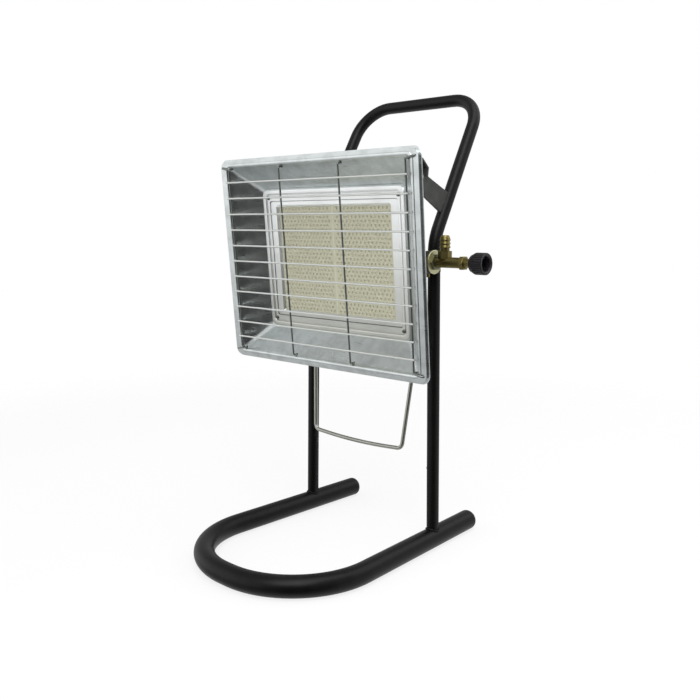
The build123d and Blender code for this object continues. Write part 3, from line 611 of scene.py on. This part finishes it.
def cross_screw(data, x, z, top, bottom):
    """A screw at a place on the head, its head's crown and its tip told outward."""
    profile = [(RECESS_CORE_R, top), (RECESS_R, top), (SCREW_HEAD_R - SCREW_ROUND, top)]
    for step in range(1, CROWN_STEPS + 1):
        angle = math.radians(90 * step / CROWN_STEPS)
        profile.append((
            SCREW_HEAD_R - SCREW_ROUND * (1 - math.sin(angle)),
            top - SCREW_ROUND * (1 - math.cos(angle)),
        ))
    under_head = top - SCREW_HEAD
    profile += [(SCREW_HEAD_R, under_head), (SCREW_R, under_head), (SCREW_R, bottom)]
    rings = []
    for depth, (radius, level) in enumerate(profile):
        ring = []
        for i in range(SCREW_SEGMENTS):
            angle = 2 * math.pi * i / SCREW_SEGMENTS
            out_by = level - RECESS_DEEP if in_recess(depth, i) else level
            spot = on_head(x + radius * math.cos(angle), z + radius * math.sin(angle), out_by)
            ring.append(data.verts.new(spot))
        rings.append(ring)
    data.faces.new(rings[0]).material_index = HOLLOW_SHADE
    data.faces.new(rings[-1])
    for depth, (ring, following) in enumerate(zip(rings, rings[1:])):
        for i, face in enumerate(faces_between(data, ring, following)):
            face.material_index = HOLLOW_SHADE if in_recess(depth, i, i + 1) else 0


screw_low, screw_high = head_box("burner_screws")
screw_data = bmesh.new()
for screw_x in (screw_low.x + SCREW_HEAD_R, screw_high.x - SCREW_HEAD_R):
    for screw_z in (screw_low.y + SCREW_HEAD_R, screw_high.y - SCREW_HEAD_R):
        cross_screw(screw_data, screw_x, screw_z, screw_high.z, screw_low.z)
bmesh.ops.recalc_face_normals(screw_data, faces=screw_data.faces)
screws = object_from("cross_screws", screw_data)
finish_with(screws, "screw_steel", "screw_recess_shade")
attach(screws, "head")
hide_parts("burner_screws")

# ---------------------------------------------------------------- welds and rivets
# Weld beads where the uprights stand on the base tube.
WELD_R = 1.2 * MM
WELD_OUT = WELD_R / 3
WELD_UP = WELD_R / 4
WELD_RIPPLE = 0.35 * MM
WELD_STEPS = 40
WELD_SEED = 7
wobble = random.Random(WELD_SEED)
reach = POST_R + WELD_OUT
for side_x, side_name in SIDES:
    path = []
    radii = []
    for step in range(WELD_STEPS):
        angle = 2 * math.pi * step / WELD_STEPS
        out_x = reach * math.cos(angle)
        out_y = reach * math.sin(angle)
        across = out_x + side_x * LEG_SLOPE * reach * math.sin(angle)
        rise = math.sqrt((BASE_R + WELD_UP) ** 2 - across**2)
        path.append(DATUM + Vector((side_x * POST_FOOT_X + out_x, out_y, BASE_R + rise)))
        swell = WELD_RIPPLE * (wobble.random() - 0.5)
        radii.append(WELD_R + swell + WELD_RIPPLE / 2 * (step % 2))
    weld = round_bar(f"foot_weld_{side_name}", path, radii, closed=True)
    finish_with(weld, "stand_paint")
    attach(weld, "stand")

# A domed rivet on the inner side of each upright, under the bail. Each ring of its dome is
# told by how far it stands from the tube's wall and its radius, in millimetres.
RIVET_Z = 101.0 * MM
RIVET_DOME = ((-0.6, 2.9), (0.25, 2.9), (0.75, 2.4), (1.05, 1.5), (1.15, 0.5))
post_lean = (POST_FOOT_X - POST_BEND_X) / (POST_BEND_Z - BASE_R)
wall_x = POST_FOOT_X - post_lean * (RIVET_Z - BASE_R) - POST_R
for side_x, side_name in SIDES:
    path = [DATUM + Vector((side_x * (wall_x - rise * MM), 0, RIVET_Z)) for rise, _ in RIVET_DOME]
    rivet = round_bar(f"post_rivet_{side_name}", path, [radius * MM for _, radius in RIVET_DOME])
    finish_with(rivet, "rivet_black")
    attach(rivet, "stand")

# ---------------------------------------------------------------- floor
# Pale round the object, and clear further out and to what the metal mirrors.
FLOOR_REACH = 3.0
FLOOR_CLEAR = 0.75
FLOOR_GONE = 1.35
FLOOR_WHITE = 0.8
FLOOR_PALE = (0.9, 0.9, 0.9, 1)
FLOOR_ROUGH = 0.95
floor_data = bmesh.new()
bmesh.ops.create_grid(floor_data, x_segments=1, y_segments=1, size=FLOOR_REACH)
floor = object_from("floor", floor_data)
pale = bpy.data.materials.new("pale_floor")
pale.use_nodes = True
tree = pale.node_tree
shader = tree.nodes["Principled BSDF"]
shader.inputs["Base Color"].default_value = FLOOR_PALE
shader.inputs["Roughness"].default_value = FLOOR_ROUGH
shader.inputs["Specular IOR Level"].default_value = 0.0
length = tree.nodes.new("ShaderNodeVectorMath")
length.operation = "LENGTH"
tree.links.new(tree.nodes.new("ShaderNodeTexCoord").outputs["Object"], length.inputs[0])
fade = spread(tree, length.outputs["Value"], start=FLOOR_CLEAR, stop=FLOOR_GONE, smooth=True)
ray = tree.nodes.new("ShaderNodeLightPath")
gone = tree.nodes.new("ShaderNodeMath")
gone.operation = "MAXIMUM"
tree.links.new(fade, gone.inputs[0])
tree.links.new(ray.outputs["Is Glossy Ray"], gone.inputs[1])
clear = tree.nodes.new("ShaderNodeBsdfTransparent")
plain = tree.nodes.new("ShaderNodeEmission")
plain.inputs["Color"].default_value = WHITE
plain.inputs["Strength"].default_value = 1.0
whitened = spread(tree, ray.outputs["Is Camera Ray"], 0.0, FLOOR_WHITE)
shown = mix_shaders(tree, whitened, shader.outputs["BSDF"], plain.outputs["Emission"])
surface = mix_shaders(tree, gone.outputs["Value"], shown, clear.outputs["BSDF"])
tree.links.new(surface, tree.nodes["Material Output"].inputs["Surface"])
floor.data.materials.append(pale)

# ---------------------------------------------------------------- studio
# White to the camera, and for the light on the object a soft pale room with a bright wall at
# the left and a dark one where the photographer stands. Each wall fills a cone of directions,
# told by the angles from its middle where it is still full and where it is gone, in degrees.
ROOM_TINT = (0.985, 0.992, 0.99, 1)
ROOM_BELOW = 1.0
ROOM_ABOVE = 0.4
WALL_BELOW = 0.5
WALL_ABOVE = 1.3
WALL_FOOT = -0.31
WALL_TOP = 0.02
DARK_LEVEL = 0.038
BRIGHT_WALL = Vector((-0.62, -0.76, -0.1))
BRIGHT_CONE = (30, 65)
DARK_WALL = Vector((0.70, -0.68, -0.2))
DARK_CONE = (25, 55)
world = bpy.data.worlds.new("studio")
bpy.context.scene.world = world
world.use_nodes = True
tree = world.node_tree
tree.nodes.clear()
out = tree.nodes.new("ShaderNodeOutputWorld")
seen = tree.nodes.new("ShaderNodeBackground")
seen.inputs["Color"].default_value = WHITE
room = tree.nodes.new("ShaderNodeBackground")
room.inputs["Color"].default_value = ROOM_TINT
way = tree.nodes.new("ShaderNodeTexCoord").outputs["Generated"]


def toward(direction, cone):
    """One inside a cone of directions, falling softly to nothing outside it."""
    full, none = (math.cos(math.radians(angle)) for angle in cone)
    dot = tree.nodes.new("ShaderNodeVectorMath")
    dot.operation = "DOT_PRODUCT"
    dot.inputs[1].default_value = direction.normalized()
    tree.links.new(way, dot.inputs[0])
    return spread(tree, dot.outputs["Value"], start=none, stop=full, smooth=True)


def by_height(foot, top, below, above):
    """A level that changes with a direction's height, from foot to top."""
    return spread(tree, height_of(tree, way), below, above, start=foot, stop=top, smooth=True)


room_level = by_height(-1.0, 1.0, ROOM_BELOW, ROOM_ABOVE)
wall_level = by_height(WALL_FOOT, WALL_TOP, WALL_BELOW, WALL_ABOVE)
level = blend(tree, "FLOAT", toward(BRIGHT_WALL, BRIGHT_CONE), room_level, wall_level)
level = blend(tree, "FLOAT", toward(DARK_WALL, DARK_CONE), level, DARK_LEVEL)
tree.links.new(level, room.inputs["Strength"])
to_camera = tree.nodes.new("ShaderNodeLightPath").outputs["Is Camera Ray"]
lit = mix_shaders(tree, to_camera, room.outputs["Background"], seen.outputs["Background"])
tree.links.new(lit, out.inputs["Surface"])


def lamp(name, place, aim, size, power):
    """A soft rectangular studio light."""
    light = bpy.data.lights.new(name, "AREA")
    light.shape = "RECTANGLE"
    light.size, light.size_y = size
    light.energy = power
    body = link(bpy.data.objects.new(name, light))
    body.location = place
    body.rotation_mode = "QUATERNION"
    body.rotation_quaternion = (Vector(aim) - Vector(place)).to_track_quat("-Z", "Y")


lamp("key_front", place=(0.9, -1.3, 1.9), aim=(0, 0, 0.3), size=(1.4, 1.4), power=24)
lamp("top", place=(0.6, -0.1, 2.1), aim=(0, 0, 0.2), size=(1.5, 1.5), power=16)
lamp("back", place=(0.9, 1.3, 1.5), aim=(0, 0, 0.3), size=(1.8, 1.5), power=10)
bpy.context.scene.view_settings.view_transform = "Standard"
